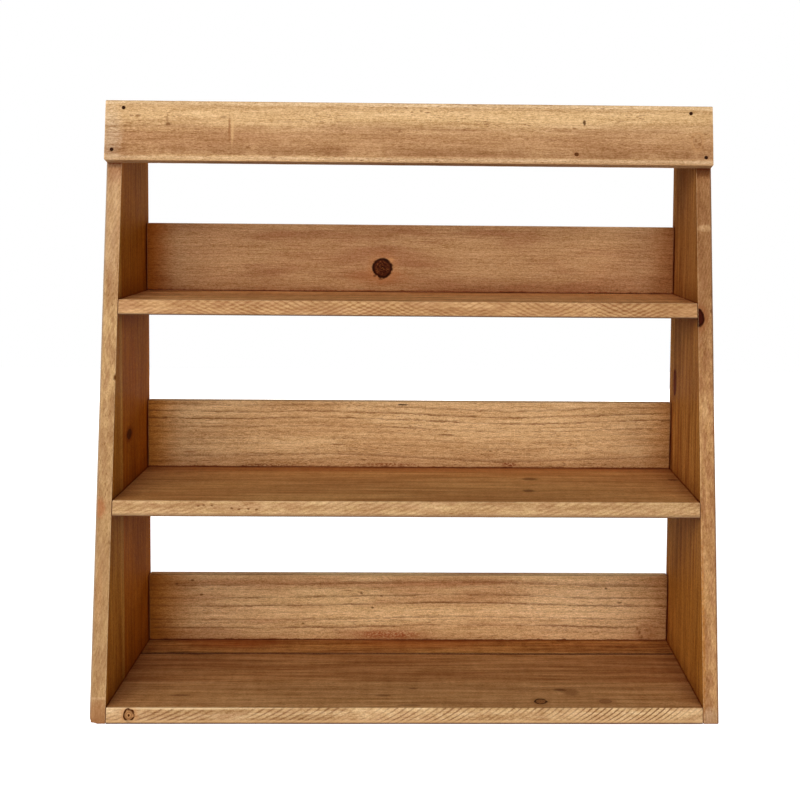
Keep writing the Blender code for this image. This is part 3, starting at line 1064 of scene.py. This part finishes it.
def aged(wood, colour):
    """A torn foot's painted shade, pale arrises from wear and painted highlight, a pale strip and a darker
    strip beside a raked edge's far arris, and painted shade under a bevelled board.
    """
    look = wood.look
    width = wood.board.width
    if look.torn_foot:
        # Painted shade of the gap under a rail's torn foot, along a ragged line
        torn = wood.across + wood.swing(TEARS) * TEAR_SWAY
        colour = tint(ramp(torn, width - 1.2, width + 0.3, 0, TORN_SHADE_STRENGTH), colour, TORN_FOOT_SHADE)
    wear = add_node("Attribute", {}, "Fac", wood.tree, attribute_name="wear")
    # Pale arrises: wear, and a painted highlight where eased edges catch the light
    wear_and_highlight = ramp(wear, 0.1, 0.9) * wood.spread(RAGGED, 0.3 * look.wear_and_highlight, look.wear_and_highlight)
    colour = tint(wear_and_highlight, colour, WEAR_AND_HIGHLIGHT)
    if look.pale_foot:
        colour = tint(wood.far_strip(4, 3, look.pale_foot) * wood.on_edge, colour, SAWN_LIGHT)
    if look.lip:
        colour = tint(wood.far_strip(look.lip_reach, 0.9, LIP_STRENGTH) * wood.on_edge, colour, look.lip)
    # Painted shade along the bottom of a bevelled board and on its underside
    if wood.board.bevel:
        colour = tint(wood.far_strip(1.2, 0.5, UNDER_SHADE_STRENGTH), colour, UNDER_SHADE_LINE)
    return colour


def shaded_in_joints(wood, colour):
    """Painted shade in the joints between boards, darker where little open space is round a place, and a dark
    seam in them that is partly dirty wood and partly painted shade.
    """
    # Painted shade: a darker tint multiplied in where the open space round a place is small
    joint_shade = ramp(wood.openness(JOINT_REACH), *JOINT_FADE, JOINT_SHADE_STRENGTH, 0)
    colour = tint(joint_shade, colour, JOINT_SHADE_TINT, "MULTIPLY")
    # A dark seam right in the joints, partly dirty wood and partly painted shade
    dirt_and_shade = ramp(wood.openness(SEAM_REACH), *SEAM_FADE, SEAM_STRENGTH, 0)
    return tint(dirt_and_shade * wood.spread(RAGGED, 0.5, 1), colour, SEAM_DIRT_AND_SHADE)


def fir(board):
    """Planed fir, laid on in layers from the board's tone to the painted shade and dirty seams in its joints.
    """
    material, tree = new_material(board.node + "_figured_fir")
    wood = Wood(board, tree)
    look = board.look
    colour, calm = edged(wood, toned(wood))
    colour = marked(wood, colour, ("broad", "edge"))
    if look.ends:
        colour = shaded_ends(wood, colour)
    late = placed_lines(wood) if look.lines else ring_lines(wood)
    colour = grained(wood, tint(late, colour, look.line), calm)
    pores = wood.spread(PORES) * wood.spread(PORE_GROUPS)
    colour = sawn(wood, tint(pores * look.dash, colour, look.line))
    colour = marked(wood, colour, ("stain", "torn"))
    colour = shaded_in_joints(wood, aged(wood, knotted(wood, colour)))
    streaks = wood.noise(STREAKS)
    height = wood.noise(FIBRES) * 0.5 + streaks * 0.5 + late * 0.35 - pores * 0.5
    return finish_material(material, {
        "Base Color": colour,
        "Roughness": ramp(streaks, 0.2, 0.8, *WOOD_ROUGHNESS) + late * -0.08,
        "Specular IOR Level": WOOD_SPECULAR,
        "Normal": bump(height, WOOD_BUMP, WOOD_BUMP_HEIGHT),
    })


def nail_steel():
    """Dark wire nails, with a rolled scale and a little rust."""
    material, tree = new_material("dark_nail_steel")
    position = add_node("TexCoord", {}, "Object", tree)
    grain = add_node("TexNoise", {"Vector": position, "Scale": 1400, "Detail": 3})
    rust = add_node("TexNoise", {"Vector": position, "Scale": 420, "Detail": 2})
    colour = between(ramp(grain, 0.3, 0.7), NAIL_TONES)
    return finish_material(material, {
        "Base Color": tint(ramp(rust, 0.45, 0.7, 0, 0.8), colour, NAIL_RUST),
        "Roughness": ramp(grain, 0.2, 0.8, 0.6, 0.85),
        "Specular IOR Level": 0.05,
        "Normal": bump(grain, 0.3, 0.0001),
    })


# Pieces


def nailed_face(node):
    """The board whose face a nail's head is in."""
    if node.startswith("header_nail"):
        return "header_board"
    for side in ("left", "right"):
        if "_nail_" + side in node:
            return side + "_panel"
    return None


def dress_board(board):
    """The planed board that stands for a CAD board."""
    piece = placed(board.node + "_planed", board_mesh(board))
    nails = [node for node in NODES if nailed_face(node) == board.node]
    if nails:
        out = OUT_OF_THE_RAKE if board.node == "header_board" else board.inward
        drill(piece, nail_holes(board, nails, out))
    piece.data.materials.clear()
    piece.data.materials.append(fir(board))
    piece.data.shade_smooth()
    piece.data.set_sharp_from_angle(angle=SHARP_ANGLE)
    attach(piece, "root")
    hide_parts(board.node)
    board.node + "_fir"


def dress_nails():
    steel = nail_steel()
    for node, item in NODES.items():
        if nailed_face(node):
            item.data.materials.clear()
            item.data.materials.append(steel)


# Studio


def white_floor():
    shape = bmesh.new()
    bmesh.ops.create_grid(shape, x_segments=FLOOR_CELLS, y_segments=FLOOR_CELLS, size=FLOOR_HALF_SIZE)
    floor = placed("studio_floor", finished_mesh(shape, "studio_floor"))
    floor.location.z = -FLOOR_DROP
    material, tree = new_material("white_studio_floor")
    position = add_node("TexCoord", {}, "Object", tree)
    seen = add_node("LightPath", {}, "Is Camera Ray", tree)
    dust = add_node("TexNoise", {"Vector": position, "Scale": 30})
    floor.data.materials.append(finish_material(material, {
        "Base Color": between(dust, FLOOR_TONES),
        "Roughness": 0.9,
        "Specular IOR Level": 0.1,
        "Emission Color": WHITE,
        "Emission Strength": seen * ramp(vector("LENGTH", position), *FLOOR_FADE, FLOOR_GLOW, 1),
    }))


def white_surround():
    """White to the camera, and a dim light to everything else."""
    world = bpy.data.worlds.new("white_surround")
    world.use_nodes = True
    tree = world.node_tree
    seen = add_node("LightPath", {}, "Is Camera Ray", tree)
    strength = add_node("MapRange", {"Value": seen, "To Min": SURROUND_LIGHT, "To Max": 1})
    feed(tree.nodes["Background"].inputs, {"Color": WHITE, "Strength": strength})
    bpy.context.scene.world = world


def soft_light(name, place, target, size, power, glossy=False, spread=180):
    """An area light of some width and height that the camera doesn't see."""
    light = bpy.data.lights.new(name, "AREA")
    light.shape = "RECTANGLE"
    light.size, light.size_y = size
    light.energy = power
    light.spread = math.radians(spread)
    light.color = LIGHT_COLOUR
    item = placed(name, light)
    item.location = place
    item.rotation_euler = (Vector(target) - Vector(place)).to_track_quat("-Z", "Y").to_euler()
    item.visible_camera = False
    item.visible_glossy = glossy


def studio_lights():
    soft_light("key_light", (-0.5, -2.5, 1.3), RACK_MIDDLE, (5.2, 1.5), 98, glossy=True)
    soft_light("rear_light", (0.5, 2.6, 0.5), RACK_MIDDLE, (2.4, 0.8), 24)
    soft_light("top_light", (0, 0.46, 3.0), (0, 0.06, 0.6), (1.0, 0.08), 0.32, spread=12)
    for side in (-1, 1):
        soft_light("side_light", (2.8 * side, 0.16, 0.4), (0, 0.1, 0.3), (0.4, 1.2), 34)


def camera():
    data = bpy.data.cameras.new("photo_camera")
    data.sensor_width = CAMERA_SENSOR
    data.lens = CAMERA_LENS
    data.shift_x, data.shift_y = CAMERA_SHIFT
    turn = Matrix.Rotation(CAMERA_PAN, 4, "Z")
    turn = turn @ Matrix.Rotation(math.radians(90) - CAMERA_TILT, 4, "X")
    turn = turn @ Matrix.Rotation(CAMERA_ROLL, 4, "Z")
    item = placed("photo_camera", data)
    item.matrix_world = Matrix.Translation(CAMERA_PLACE) @ turn
    bpy.context.scene.camera = item


for board in BOARDS:
    dress_board(board)
dress_nails()
white_floor()
white_surround()
studio_lights()
camera()
bpy.context.scene.view_settings.view_transform = "Standard"
